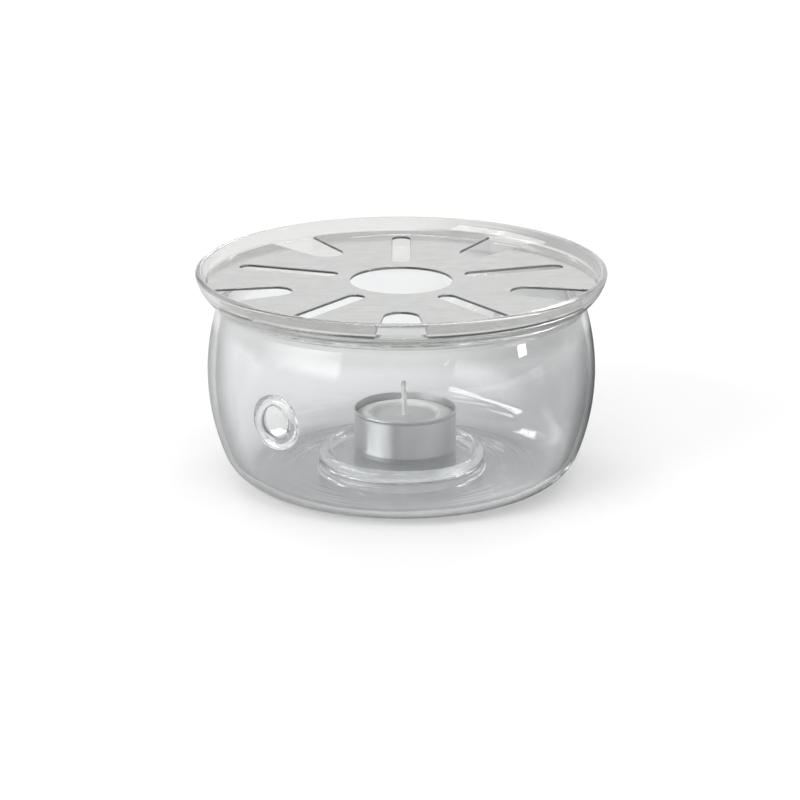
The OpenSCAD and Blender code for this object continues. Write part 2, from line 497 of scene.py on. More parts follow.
def glass_material():
    """Clear fire-polished glass: faint waves and smears, a grey tint that is painted shade for the greyer
    surround seen through it, dark painted edge shade below the collar, and a darker painted shade on the
    collar.
    """
    material, shader, add, link = new_material("clear_glass")
    waves = noise(add, object_coords(add), scale=55, detail=1)
    link(bump(add, waves, strength=0.05, distance=0.001), shader.inputs["Normal"])
    smears = noise(add, object_coords(add), scale=35, detail=4, roughness=0.6)
    link(remap(add, smears, (0.5, 0.8), (0, 0.03)), shader.inputs["Roughness"])
    # Painted shade: the glass darkens towards its grazing edges, for dark surroundings mirrored there
    edge = remap(add, add("ShaderNodeLayerWeight").outputs["Facing"], (0.55, 0.9), (0, 1))
    wall = blend_colours(add, edge, blend_colours(add, smears, *GLASS_SHADE_TONES), GLASS_PAINTED_EDGE_SHADE)
    # Painted shade: from below the neck's curve up, the glass turns to the collar's darker grey
    collar_shade_start = metres(*(NECK_C[1] - below for below in COLLAR_TINT_BELOW))
    collar = remap(add, height(add), collar_shade_start, (0, 1))
    link(blend_colours(add, collar, wall, GLASS_COLLAR_SHADE), shader.inputs["Base Color"])
    set_inputs(shader, {"IOR": 1.474, "Transmission Weight": 1})
    body = add("ShaderNodeVolumeAbsorption", {"Color": GLASS_BODY, "Density": 1.5})
    output = material.node_tree.nodes["Material Output"]
    link(body.outputs["Volume"], output.inputs["Volume"])
    return material


def steel_material():
    """Satin stainless sheet: fine rolling lines, slight hollows, faint rubbing marks, and cut edges painted
    dark as shade.
    """
    material, shader, add, link = new_material("plate_steel")
    rolled = noise(add, object_coords(add, (40, 1600, 40)), scale=1, detail=3, roughness=0.6)
    hollows = noise(add, object_coords(add), scale=28)
    marks = noise(add, object_coords(add), scale=120, detail=5, roughness=0.65)
    grain = remap(add, calculate(add, "ADD", marks, rolled), (0.7, 1.3), (0, 1))
    sheet = blend_colours(add, grain, *STEEL_TONES)
    # Painted shade: faces that stand upright, the cut edges, are painted dark
    upright = split(add, add("ShaderNodeNewGeometry").outputs["Normal"])["Z"]
    unshaded_flat = remap(add, calculate(add, "ABSOLUTE", upright), (0.15, 0.85), (0, 1))
    link(blend_colours(add, unshaded_flat, STEEL_PAINTED_EDGE_SHADE, sheet), shader.inputs["Base Color"])
    set_inputs(shader, {"Metallic": 1})
    link(remap(add, rolled, USUAL_NOISE, (0.07, 0.14)), shader.inputs["Roughness"])
    broad = bump(add, hollows, strength=0.12, distance=0.001)
    fine = bump(add, rolled, strength=0.03, distance=0.0002, Normal=broad)
    link(fine, shader.inputs["Normal"])
    return material


def aluminium_material():
    """Drawn aluminium: highlights pulled upright, a cloudy satin surface and slight dents."""
    material, shader, add, link = new_material("cup_aluminium")
    drawn = round_coords(add, CANDLE_X, around=2, along=60)
    clouds = noise(add, drawn, scale=1, detail=3)
    dents = noise(add, object_coords(add), scale=45, detail=1)
    link(blend_colours(add, clouds, *ALUMINIUM_TONES), shader.inputs["Base Color"])
    set_inputs(shader, {"Metallic": 1, "Anisotropic": 0.97, "Anisotropic Rotation": 0.25})
    tangent = add("ShaderNodeTangent", direction_type="RADIAL", axis="Z")
    link(tangent.outputs[0], shader.inputs["Tangent"])
    link(remap(add, clouds, USUAL_NOISE, (0.36, 0.44)), shader.inputs["Roughness"])
    link(bump(add, dents, strength=0.04, distance=0.001), shader.inputs["Normal"])
    return material


def wax_material():
    """White paraffin wax: a mottled, dull surface, clearer and greyer where it has melted in the pool, the
    pool's grey partly painted shade of its sunken top.
    """
    material, shader, add, link = new_material("candle_wax")
    mottle = noise(add, object_coords(add), scale=260, detail=4, roughness=0.6)
    middle = metres(CANDLE_X, 0, WAX_HIGH.z)
    offset = add("ShaderNodeVectorMath", {0: object_coords(add), 1: middle}, operation="SUBTRACT")
    blotches = noise(add, object_coords(add), scale=150)
    wander = remap(add, blotches, (0, 1), metres(-POOL_TINT_WANDER, POOL_TINT_WANDER))
    reach = calculate(add, "ADD", length(add, offset.outputs[0]), wander)
    shore = metres(*(POOL_R - inside for inside in POOL_TINT_INSIDE))
    # Partly painted shade: the sunken pool is greyer than the ring, partly as melted wax and partly as
    # painted shade
    ring = soft_remap(add, reach, shore, (0, 1))
    melted = blend_colours(add, mottle, *POOL_MELT_AND_SHADE_TONES)
    solid = blend_colours(add, mottle, *WAX_TONES)
    link(blend_colours(add, ring, melted, solid), shader.inputs["Base Color"])
    set_inputs(shader, {"Subsurface Weight": 0.35, "Subsurface Radius": (1.0, 0.95, 0.85)})
    set_inputs(shader, {"Subsurface Scale": 0.002, "IOR": 1.44})
    link(remap(add, mottle, USUAL_NOISE, (0.38, 0.55)), shader.inputs["Roughness"])
    link(bump(add, mottle, strength=0.25, distance=0.0003), shader.inputs["Normal"])
    return material


def wick_material():
    """Waxed cotton: pale uneven fibres, greyer towards the tip."""
    material, shader, add, link = new_material("wick_cotton")
    fibres = noise(add, object_coords(add, (2600, 2600, 700)), scale=1, detail=3, roughness=0.6)
    tip = remap(add, height(add), metres(WICK_HIGH.z - WICK_TIP_L, WICK_HIGH.z), (0, 1))
    pale = blend_colours(add, fibres, *WICK_TONES)
    link(blend_colours(add, tip, pale, WICK_TIP), shader.inputs["Base Color"])
    set_inputs(shader, {"Subsurface Weight": 0.15, "Subsurface Radius": (1.0, 0.97, 0.93)})
    set_inputs(shader, {"Subsurface Scale": 0.0005})
    link(remap(add, fibres, USUAL_NOISE, (0.5, 0.75)), shader.inputs["Roughness"])
    link(bump(add, fibres, strength=0.4, distance=0.0002), shader.inputs["Normal"])
    return material


def tin_material():
    """Tinned sheet of the wick clip, dull with a fine grain."""
    material, shader, add, link = new_material("clip_tin")
    grain = noise(add, object_coords(add), scale=700, detail=4, roughness=0.6)
    link(blend_colours(add, grain, *TIN_TONES), shader.inputs["Base Color"])
    set_inputs(shader, {"Metallic": 1})
    link(remap(add, grain, USUAL_NOISE, (0.3, 0.5)), shader.inputs["Roughness"])
    link(bump(add, grain, strength=0.15, distance=0.0002), shader.inputs["Normal"])
    return material


# Glass bowl

BELLY_C = (RIM_R - BELLY_INSET - BELLY_CURVE_R, BELLY_Z)
CORNER_C = (BELLY_C[0] + other_side(BELLY_CURVE_R - CORNER_R, BELLY_Z - CORNER_R), CORNER_R)
LIP_C = (RIM_R - GLASS_T / 2, BOWL_H - GLASS_T / 2)
COLLAR_C = (LIP_C[0] - COLLAR_REACH, LIP_C[1] + COLLAR_RISE)
COLLAR_CURVE_R = math.dist(LIP_C, COLLAR_C) + GLASS_T / 2
NECK_C = circles_meet(BELLY_C, BELLY_CURVE_R + NECK_R, COLLAR_C, COLLAR_CURVE_R + NECK_R)
BELLY_START = direction(BELLY_C, CORNER_C)
BELLY_END = direction(BELLY_C, NECK_C)
COLLAR_START = direction(COLLAR_C, NECK_C)
COLLAR_END = direction(COLLAR_C, LIP_C)


def seat_ring():
    """Outer radius of the ring round the candle seat, and the centres of its three curves."""
    seat_hollow_c = (CUP_R + SEAT_PLAY, SEAT_Z + SEAT_FILLET_R)
    crest_z = SEAT_Z + RING_H - CREST_R
    crest_x = seat_hollow_c[0] + other_side(CREST_R + SEAT_FILLET_R, seat_hollow_c[1] - crest_z)
    ring_hollow_z = GLASS_T + RING_FILLET_R
    ring_hollow_x = crest_x + other_side(CREST_R + RING_FILLET_R, crest_z - ring_hollow_z)
    return crest_x + CREST_R, (crest_x, crest_z), seat_hollow_c, (ring_hollow_x, ring_hollow_z)


def glass_outside():
    """Section of the outer surface, from the middle of the underside up to the lip."""
    hollow_r = seat_ring()[0] - GLASS_T
    hollow_z = SEAT_Z - GLASS_T
    round_c = (hollow_r - HOLLOW_ROUND_R, hollow_z - HOLLOW_ROUND_R)
    edge_c = (hollow_r + HOLLOW_EDGE_R, FOOT_LIFT + HOLLOW_EDGE_R)
    foot_in = (CORNER_C[0] - FOOT_W, 0)
    return chain(
        line((0, hollow_z), (round_c[0], hollow_z), steps=6),
        arc(round_c, HOLLOW_ROUND_R, 90, 0, steps=8),
        arc(edge_c, HOLLOW_EDGE_R, 180, 270, steps=8),
        line((edge_c[0], FOOT_LIFT), foot_in, steps=8),
        line(foot_in, (CORNER_C[0], 0), steps=3),
        arc(CORNER_C, CORNER_R, -90, BELLY_START, steps=20),
        arc(BELLY_C, BELLY_CURVE_R, BELLY_START, BELLY_END, BELLY_STEPS),
        arc(NECK_C, NECK_R, BELLY_END + 180, COLLAR_START + 180, steps=12),
        arc(COLLAR_C, COLLAR_CURVE_R, COLLAR_START, COLLAR_END, steps=12),
        arc(LIP_C, GLASS_T / 2, COLLAR_END, COLLAR_END + 180, steps=14),
    )


def ledge_section():
    """Section of the inner side of the collar, with the ledge that carries the plate, from the lip down."""
    inner_r = COLLAR_CURVE_R - GLASS_T
    corner = (PLATE_R + PLATE_GAP, PLATE_LOW.z)
    wall_angle = -math.degrees(math.acos((corner[0] - COLLAR_C[0]) / inner_r))
    edge_angle = -math.degrees(math.asin((COLLAR_C[1] - corner[1]) / inner_r))
    wall_top = polar(COLLAR_C, inner_r, wall_angle)
    above_wall = polar(COLLAR_C, inner_r, wall_angle + LEDGE_AIM_ANGLE)
    edge = polar(COLLAR_C, inner_r, edge_angle)
    below_edge = polar(COLLAR_C, inner_r, edge_angle - LEDGE_AIM_ANGLE)
    return chain(
        arc(COLLAR_C, inner_r, COLLAR_END, wall_angle + LEDGE_FREE_ANGLE, steps=6),
        softened(above_wall, wall_top, corner, LEDGE_ROUND_R),
        softened(wall_top, corner, edge, LEDGE_CORNER_R),
        softened(corner, edge, below_edge, LEDGE_ROUND_R),
        arc(COLLAR_C, inner_r, edge_angle - LEDGE_FREE_ANGLE, COLLAR_START, steps=6),
    )


def glass_inside():
    """Section of the inner surface, from the lip down to the middle of the candle seat."""
    _, crest_c, seat_hollow_c, ring_hollow_c = seat_ring()
    ring_turn = direction(ring_hollow_c, crest_c)
    crest_turn = direction(crest_c, seat_hollow_c)
    return chain(
        ledge_section(),
        arc(NECK_C, NECK_R + GLASS_T, COLLAR_START + 180, BELLY_END + 180, steps=14),
        arc(BELLY_C, BELLY_CURVE_R - GLASS_T, BELLY_END, BELLY_START, BELLY_STEPS),
        arc(CORNER_C, CORNER_R - GLASS_T, BELLY_START, -90, steps=20),
        line((CORNER_C[0], GLASS_T), (ring_hollow_c[0], GLASS_T), steps=48),
        arc(ring_hollow_c, RING_FILLET_R, 270, ring_turn, steps=10),
        arc(crest_c, CREST_R, ring_turn - 180, crest_turn, steps=16),
        arc(seat_hollow_c, SEAT_FILLET_R, crest_turn + 180, 270, steps=6),
        line((seat_hollow_c[0], SEAT_Z), (0, SEAT_Z), steps=8),
    )


def wall_radius(z, inset):
    """Radius of the belly at a height, with its surface moved inwards by inset."""
    return BELLY_C[0] + other_side(BELLY_CURVE_R - inset, z - BELLY_Z)


def belly_rows(section, inset):
    """Numbers of the section's points that lie on the belly's curve, moved inwards by inset."""
    radius = BELLY_CURVE_R - inset
    near = 1e-3
    numbers = []
    for i, p in enumerate(section):
        if p[1] > GLASS_T and abs(math.dist(p, BELLY_C) - radius) < near:
            numbers.append(i)
    return numbers


def vent_loop(points, rows, belly, column, z):
    """Points round the edge of a vent's window in a wall, and the cells (row, column) inside it."""
    order = [(column + i) % GLASS_COLUMNS for i in range(-WINDOW_COLUMNS, WINDOW_COLUMNS + 1)]
    inside = [i for i in belly if abs(points[rows[i][0]][2] - z) <= WINDOW_REACH]
    loop = [rows[inside[0]][k] for k in order]
    loop += [rows[i][order[-1]] for i in inside[1:]]
    loop += [rows[inside[-1]][k] for k in order[-2::-1]]
    loop += [rows[i][order[0]] for i in inside[-2:0:-1]]
    cells = {(min(i, j), k) for i, j in zip(inside, inside[1:]) for k in order[:-1]}
    return loop, cells


def vent_spots(loop, points, turn, z):
    """Directions from a vent's middle to points of the wall: along the wall and up."""
    a = math.radians(turn)
    return [(points[i][1] * math.cos(a) - points[i][0] * math.sin(a), points[i][2] - z) for i in loop]


def vent_ring(spots, radii, middle, side, half, turn):
    """A ring of a vent's mesh; half gives how far the glass reaches from the wall's middle surface."""
    a = math.radians(turn)
    ring = []
    for (u, v), r in zip(spots, radii):
        scale = r / math.hypot(u, v)
        u, z = u * scale, middle + v * scale
        outer, inner = (other_side(wall_radius(z, inset), u) for inset in (0, GLASS_T))
        w = (outer + inner) / 2 + side * half(r, (outer - inner) / 2)
        ring.append((w * math.cos(a) - u * math.sin(a), w * math.sin(a) + u * math.cos(a), z))
    return ring


def thickened(r, wall):
    """Half the glass at a distance from a vent's middle: the wall, blended into the round lip."""
    tube = other_side(VENT_TUBE_R, r - VENT_R - VENT_TUBE_R)
    return smooth_max(wall, tube, VENT_BLEND)


def vent_wall(spots, z, turn, side):
    """Rings on one side of the wall, from near the window's edge in to the crest of the vent's lip."""
    crest = VENT_R + VENT_TUBE_R
    near = crest + 2 * VENT_TUBE_R
    reaches = [math.hypot(u, v) for u, v in spots]
    rings = []
    for i in range(1, VENT_APPROACH_STEPS):
        radii = [r + (near - r) * i / VENT_APPROACH_STEPS for r in reaches]
        rings.append(vent_ring(spots, radii, z, side, thickened, turn))
    for i in range(VENT_WALL_STEPS + 1):
        radii = [crest + (near - crest) * (1 - i / VENT_WALL_STEPS)] * len(spots)
        rings.append(vent_ring(spots, radii, z, side, thickened, turn))
    return rings


def vent_lip(spots, z, turn):
    """Rings round the inside of the lip, from its outer crest to its inner one."""
    rings = []
    for i in range(1, VENT_LIP_STEPS):
        a = math.pi * i / VENT_LIP_STEPS
        radii = [VENT_R + VENT_TUBE_R * (1 - math.sin(a))] * len(spots)
        rings.append(vent_ring(spots, radii, z, math.cos(a), lambda r, wall: VENT_TUBE_R, turn))
    return rings


def add_vent(points, faces, rows, walls, number):
    """Adds a vent's mesh to the bowl and returns the cells of the two walls that it takes the place of."""
    turn = VENT_TURN + number * 360 / VENT_COUNT
    z = VENT_Z + number * VENT_STEP
    column = number * GLASS_COLUMNS // VENT_COUNT
    loops, cells = zip(*(vent_loop(points, rows, belly, column, z) for belly in walls))
    outer, inner = (vent_spots(loop, points, turn, z) for loop in loops)
    made = vent_wall(outer, z, turn, 1)
    made += vent_lip(outer, z, turn)
    made += reversed(vent_wall(inner, z, turn, -1))
    rings = [loops[0]]
    for ring in made:
        rings.append(list(range(len(points), len(points) + len(ring))))
        points.extend(ring)
    rings.append(loops[1])
    for low, high in zip(rings, rings[1:]):
        faces += ring_faces(low, high)
    return cells[0] | cells[1]


def wave(angle, z, phase):
    """Slight unevenness of blown glass, from -1 to 1, which closes on itself all the way round."""
    total = sum(share for _, _, share, _ in WAVES)
    shape = 0
    for turns, rise, share, part in WAVES:
        shape += share * math.sin(turns * angle + z / rise + part * phase)
    return shape / total


def ripple(angle, r):
    """Faint rings left in the glass floor by forming, from -1 to 1."""
    shape = 0
    for share, rate, wander, turns in RIPPLES:
        shape += share * math.sin(r * rate + wander * math.sin(turns * angle))
    return shape


def is_outer(point):
    """True if a point of the glass is nearer its outer surface."""
    x, y, z = point
    return math.hypot(x, y) > wall_radius(z, GLASS_T / 2)


def uneven(point):
    """Moves a point of the wall or of the inner floor slightly; lip, ledge, seat and foot stay true."""
    x, y, z = point
    r = math.hypot(x, y)
    angle = math.atan2(y, x)
    outer = is_outer(point)
    amount = OUTER_WAVE if outer else INNER_WAVE
    amount *= between(z, WAVE_START_Z, WAVE_END_Z) * smooth_step(r, *WAVE_START_R)
    scale = 1 + amount * wave(angle, z, OUTER_PHASE if outer else INNER_PHASE) / max(r, 1)
    if GLASS_T / 2 < z < 2 * GLASS_T and not outer:
        z += RIPPLE_RELIEF * ripple(angle, r) * between(r, RIPPLE_START_R, RIPPLE_END_R)
    return (x * scale, y * scale, z)


def make_bowl():
    """The glass bowl with its collar, candle seat and vents."""
    section = chain(glass_outside(), glass_inside())
    points, _, rows = lathe(section, GLASS_COLUMNS, start=VENT_TURN)
    walls = belly_rows(section, 0), belly_rows(section, GLASS_T)[::-1]
    faces, taken = [], set()
    for number in range(VENT_COUNT):
        taken |= add_vent(points, faces, rows, walls, number)
    for i, (low, high) in enumerate(zip(rows, rows[1:])):
        for k in range(GLASS_COLUMNS):
            if (i, k) not in taken:
                faces.append(ring_face(low, high, k))
    points = [uneven(p) for p in points]
    nodes = ["glass_bowl", "seat_disc"]
    return make_piece("bowl_glass", points, faces, "bowl", nodes, glass_material())


# Steel plate

def with_normals(points, inward=False):
    """A closed outline as (x, y, normal x, normal y); the normals point out of the metal."""
    made = []
    count = len(points)
    side = -1 if inward else 1
    for i, (x, y) in enumerate(points):
        before, after = points[i - 1], points[(i + 1) % count]
        tangent = Vector((after[0] - before[0], after[1] - before[1])).normalized()
        made.append((x, y, side * tangent.y, -side * tangent.x))
    return made


def turned(points, angle):
    """Points turned about the plate's middle by an angle in degrees."""
    a = math.radians(angle)
    c, s = math.cos(a), math.sin(a)
    return [(x * c - y * s, x * s + y * c) for x, y in points]


def notch_run():
    """One notch along +X, from the plate's edge below it to the edge above it, and the angle of its end."""
    half = math.radians(NOTCH_HALF_ANGLE)
    end_r = (PLATE_R - NOTCH_DEPTH) / (1 - math.sin(half))
    round_r = end_r * math.sin(half)
    turn = 90 + NOTCH_HALF_ANGLE
    start = Vector(polar((end_r, 0), round_r, turn))
    along = Vector((math.cos(half), math.sin(half)))
    metal = Vector((-along.y, along.x))
    base = start + metal * NOTCH_CORNER_R
    inner = PLATE_R - NOTCH_CORNER_R
    reach = -base.dot(along) + math.sqrt(base.dot(along) ** 2 - base.dot(base) + inner * inner)
    centre = base + along * reach
    touch = centre - metal * NOTCH_CORNER_R
    corner_start = direction(centre, touch)
    corner_end = direction((0, 0), centre)
    upper = chain(
        arc((end_r, 0), round_r, 180, turn, steps=14),
        line(tuple(start), tuple(touch), steps=10),
        arc(tuple(centre), NOTCH_CORNER_R, corner_start, corner_end, steps=8),
    )
    lower = [(x, -y) for x, y in reversed(upper)]
    return chain(lower, upper), corner_end


def plate_outline():
    """The plate's edge with its open notches, anticlockwise."""
    notch, edge_angle = notch_run()
    step = 360 / SLOT_COUNT
    points = []
    for i in range(SLOT_COUNT):
        turn = FIRST_NOTCH + i * step
        points += turned(notch, turn)
        points += arc((0, 0), PLATE_R, turn + edge_angle, turn + step - edge_angle, steps=56)[1:-1]
    return points


def slot_outline(turn):
    """A long slot with round ends, anticlockwise."""
    half = SLOT_W / 2
    first, last = SLOT_IN_R + half, SLOT_OUT_R - half
    points = chain(
        arc((last, 0), half, -90, 90, steps=20),
        line((last, half), (first, half), steps=16),
        arc((first, 0), half, 90, 270, steps=20),
        line((first, -half), (last, -half), steps=16)[:-1],
    )
    return turned(points, turn)


def edge_profile():
    """The plate's rounded edge as (distance in from the outline, height), from top to bottom."""
    top, bottom, r = PLATE_HIGH.z, PLATE_LOW.z + REST_GAP, PLATE_EDGE_R
    rounds = arc((0, top - r), r, 90, 0, steps=6) + arc((0, bottom + r), r, 0, -90, steps=6)
    return [(r - x, z) for x, z in rounds]


def edge_rings(points, outline):
    """Adds the points of an outline's rounded edge and returns their rings, from top to bottom."""
    rings = []
    for inset, z in edge_profile():
        rings.append(list(range(len(points), len(points) + len(outline))))
        points += [(x - nx * inset, y - ny * inset, z) for x, y, nx, ny in outline]
    return rings


def facing(face, points, up):
    """The face's corners in the order that makes it face up (1) or down (-1)."""
    a, b, c = (Vector(points[i]) for i in face)
    return face if (b - a).cross(c - a).z * up > 0 else face[::-1]


def flat_side(points, loops, up):
    """Triangles that fill the first loop of points round the others, facing up (1) or down (-1)."""
    numbers = [i for loop in loops for i in loop]
    outlines = [[Vector(points[i]) for i in loop] for loop in loops]
    triangles = tessellate_polygon(outlines)
    return [facing([numbers[i] for i in triangle], points, up) for triangle in triangles]


def make_plate():
    """The slotted steel plate with rounded edges."""
    openings = [arc((0, 0), HOLE_R, 0, 360, steps=160)[:-1]]
    openings += [slot_outline(FIRST_SLOT + i * 360 / SLOT_COUNT) for i in range(SLOT_COUNT)]
    points = []
    outer_rings = edge_rings(points, with_normals(plate_outline()))
    inner_rings = [edge_rings(points, with_normals(opening, inward=True)) for opening in openings]
    faces = []
    for high, low in zip(outer_rings, outer_rings[1:]):
        faces += ring_faces(low, high)
    for rings in inner_rings:
        for high, low in zip(rings, rings[1:]):
            faces += [face[::-1] for face in ring_faces(low, high)]
    edges = [outer_rings] + inner_rings
    sides = flat_side(points, [rings[0] for rings in edges], 1)
    sides += flat_side(points, [rings[-1] for rings in edges], -1)
    flat = range(len(faces), len(faces) + len(sides))
    faces += sides
    material = steel_material()
    nodes = ["pot_plate"]
    return make_piece("plate_steel_sheet", points, faces, "plate", nodes, material, flat)


# Tealight

def make_cup():
    """The drawn aluminium cup with a curled rim and a base pressed up inside its standing ring."""
    wall_r = CUP_R - 2 * CUP_BEAD_R + CUP_T
    corner = (wall_r - CUP_CORNER_R, SEAT_Z + CUP_CORNER_R)
    bead = (CUP_R - CUP_BEAD_R, CUP_HIGH.z - CUP_BEAD_R)
    dent_z = SEAT_Z + BASE_DENT
    stand_z = SEAT_Z + REST_GAP
    floor_z = SEAT_Z + CUP_T
    section = chain(
        line((0, dent_z), (corner[0] - 2 * STAND_W, dent_z), steps=5),
        line((corner[0] - STAND_W, stand_z), (corner[0], stand_z), steps=1),
        arc(corner, CUP_CORNER_R - REST_GAP, -90, 0, steps=8),
        line((wall_r, corner[1]), (wall_r, bead[1] - CUP_BEAD_R), steps=14),
        arc(bead, CUP_BEAD_R, BEAD_START, 180, steps=14),
        line((wall_r - CUP_T, bead[1]), (wall_r - CUP_T, corner[1]), steps=14),
        arc(corner, CUP_CORNER_R - CUP_T, 0, -90, steps=8),
        line((corner[0], floor_z), (0, floor_z), steps=5),
    )
    points, faces, _ = lathe(section, CANDLE_COLUMNS, CANDLE_X)
    material = aluminium_material()
    return make_piece("tealight_cup", points, faces, "cup", ["candle_cup"], material)


def pool_edge(angle):
    """How far the melted pool's edge wanders in and out round the wick."""
    return sum(reach * math.sin(turns * angle + phase) for reach, turns, phase in POOL_WANDER)


def wax_height(r, wander=0):
    """Height of the wax's top: a raised ring, a fall to the cup, a sunken pool and a rise at the wick."""
    slope = [POOL_R - inside for inside in POOL_SLOPE]
    edge = EDGE_FALL * smooth_step(r, POOL_R + EDGE_START, WAX_R)
    pool = POOL_DEPTH * (1 - smooth_step(r + wander, *slope))
    climb = CLIMB_H * math.exp(-(r - WICK_R) / CLIMB_REACH)
    return WAX_HIGH.z - edge - pool + climb


def wax_section(radii):
    """Section of the wax: down the wick's bore, round the clip, up the outside and over the top."""
    low = WAX_LOW.z
    round_r = CUP_CORNER_R - CUP_T
    corner = (WAX_R - round_r, low + round_r)
    recess_r = CLIP_R + BED_GAP
    recess_z = low + CLIP_T + BED_GAP
    neck_r = WICK_R + 2 * BED_GAP + CLIP_T
    neck_z = CLIP_HIGH.z + BED_GAP
    bore_r = radii[-1]
    return chain(
        [(bore_r, wax_height(bore_r)), (bore_r, neck_z), (neck_r, neck_z), (neck_r, recess_z)],
        [(recess_r, recess_z), (recess_r, low)],
        line((recess_r, low), (corner[0], low), steps=4),
        arc(corner, round_r, -90, 0, steps=6),
        line((WAX_R, corner[1]), (WAX_R, wax_height(WAX_R) - 2 * EDGE_BEVEL), steps=8),
        [(r, wax_height(r)) for r in radii],
    )


def make_wax():
    """The wax, cast round the clip and the wick."""
    outer_r = WAX_R - EDGE_BEVEL
    bore_r = WICK_R + BED_GAP / 2
    radii = [outer_r - (outer_r - bore_r) * i / WAX_TOP_STEPS for i in range(WAX_TOP_STEPS + 1)]
    points, faces, rows = lathe(wax_section(radii)[:-1], CANDLE_COLUMNS, CANDLE_X)
    for row in rows[-WAX_TOP_STEPS:]:
        for i in row:
            x, y, _ = points[i]
            r = math.hypot(x - CANDLE_X, y)
            points[i] = (x, y, wax_height(r, pool_edge(math.atan2(y, x - CANDLE_X))))
    faces += ring_faces(rows[-1], rows[0])
    material = wax_material()
    return make_piece("tealight_wax", points, faces, "candle", ["candle_wax"], material)


def plait(angle, z):
    """How far the wick's surface stands out at an angle and a height, as a share of its radius."""
    turn = 2 * math.pi * z / PLAIT_PITCH
    ribs = [abs(math.cos((STRANDS * angle + way * turn) / 2)) for way in (1, -1)]
    return 1 - GROOVE * (1 - max(ribs))


def make_wick():
    """The plaited wick, stiff with wax, which leans a little above the wax."""
    low, high = WICK_LOW.z, WICK_HIGH.z
    free_z = WAX_HIGH.z - POOL_DEPTH
    points, rings = [], []
    for j in range(WICK_ROWS + 1):
        z = low + (high - low) * j / WICK_ROWS
        blunt = max(other_side(1, max(z - (high - WICK_R), 0) / WICK_R), TIP_SHARE)
        shift = -LEAN * max((z - free_z) / (high - free_z), 0) ** LEAN_POWER
        rings.append(list(range(len(points), len(points) + WICK_COLUMNS)))
        for k in range(WICK_COLUMNS):
            a = 2 * math.pi * k / WICK_COLUMNS
            r = WICK_R * plait(a, z) * blunt
            points.append((CANDLE_X + shift + r * math.cos(a), r * math.sin(a), z))
    faces = [face for a, b in zip(rings, rings[1:]) for face in ring_faces(a, b)]
    faces.append(rings[0][::-1])
    faces.append(rings[-1])
    material = wick_material()
    return make_piece("tealight_wick", points, faces, "candle", ["candle_wick"], material)


def finish_clip():
    """The wick clip keeps its CAD shape, since the wax hides all but its foot."""
    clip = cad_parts["wick_clip"]
    clip.data.materials.clear()
    clip.data.materials.append(tin_material())


# Stage

def make_camera():
    """Camera at the photograph's angle."""
    aim = Vector(CAMERA_AIM) * MM
    tilt = math.radians(CAMERA_ELEVATION)
    back = Vector((0, -math.cos(tilt), math.sin(tilt)))
    data = bpy.data.cameras.new("photo_camera")
    data.lens = CAMERA_LENS
    camera = bpy.data.objects.new("photo_camera", data)
    camera.location = aim + back * CAMERA_DISTANCE * MM
    camera.rotation_euler = (-back).to_track_quat("-Z", "Y").to_euler()
    bpy.context.scene.collection.objects.link(camera)
    bpy.context.scene.camera = camera


def hide_from(thing, *rays):
    """Hides a lamp or a sheet from kinds of rays, such as camera or glossy."""
    for kind in rays:
        setattr(thing, f"visible_{kind}", False)


def seen_directly(add):
    """1 for rays from the camera and for mirrored and refracted ones, 0 for those that light things."""
    path = add("ShaderNodeLightPath").outputs
    shown = calculate(add, "MAXIMUM", path["Is Camera Ray"], path["Is Glossy Ray"])
    shown = calculate(add, "MAXIMUM", shown, path["Is Transmission Ray"])
    not_bounced = calculate(add, "LESS_THAN", path["Diffuse Depth"], 0.5)
    return calculate(add, "MULTIPLY", shown, not_bounced)


def stage_sheet(name, corners, material):
    """A flat sheet that belongs to the studio and not to the object."""
    mesh = bpy.data.meshes.new(name)
    mesh.from_pydata([metres(*p) for p in corners], [], [(0, 1, 2, 3)])
    mesh.materials.append(material)
    sheet = bpy.data.objects.new(name, mesh)
    bpy.context.scene.collection.objects.link(sheet)
    return sheet


def level_sheet(name, half, drop, material):
    """A square sheet that lies flat, a little below the object."""
    corners = [(-half, -half, -drop), (half, -half, -drop), (half, half, -drop), (-half, half, -drop)]
    return stage_sheet(name, corners, material)


def painted_floor_shadow_and_light(add):
    """Share of the floor's white that the object shows, 1 for the camera: a painted shadow behind it on the
    right and in front on the left, and painted caustic light in front on the right."""
    x, y, _ = split(add, object_coords(add))
    edge = RIM_R * MM
    near_right = soft_remap(add, x, (0, edge), (0, 1))
    far_right = soft_remap(add, x, [edge * radii for radii in PAINTED_SHADOW_RIGHT_FADE], (1, 0))
    right = calculate(add, "MULTIPLY", near_right, far_right)
    behind = soft_remap(add, y, (-edge / 2, edge), (0, PAINTED_SHADOW_BEHIND))
    across = remap(add, x, (-edge, edge), PAINTED_FRONT_SHADE_AND_LIGHT)
    front = soft_remap(add, y, (-edge / 2, 0), (1, 0))
    painted_shadow = calculate(add, "MULTIPLY", right, behind)
    painted_caustic_light = calculate(add, "MULTIPLY", across, front)
    change = calculate(add, "SUBTRACT", painted_caustic_light, painted_shadow)
    indirect = remap(add, add("ShaderNodeLightPath").outputs["Is Camera Ray"], (0, 1), (1, 0))
    return calculate(add, "ADD", calculate(add, "MULTIPLY", change, indirect), 1)


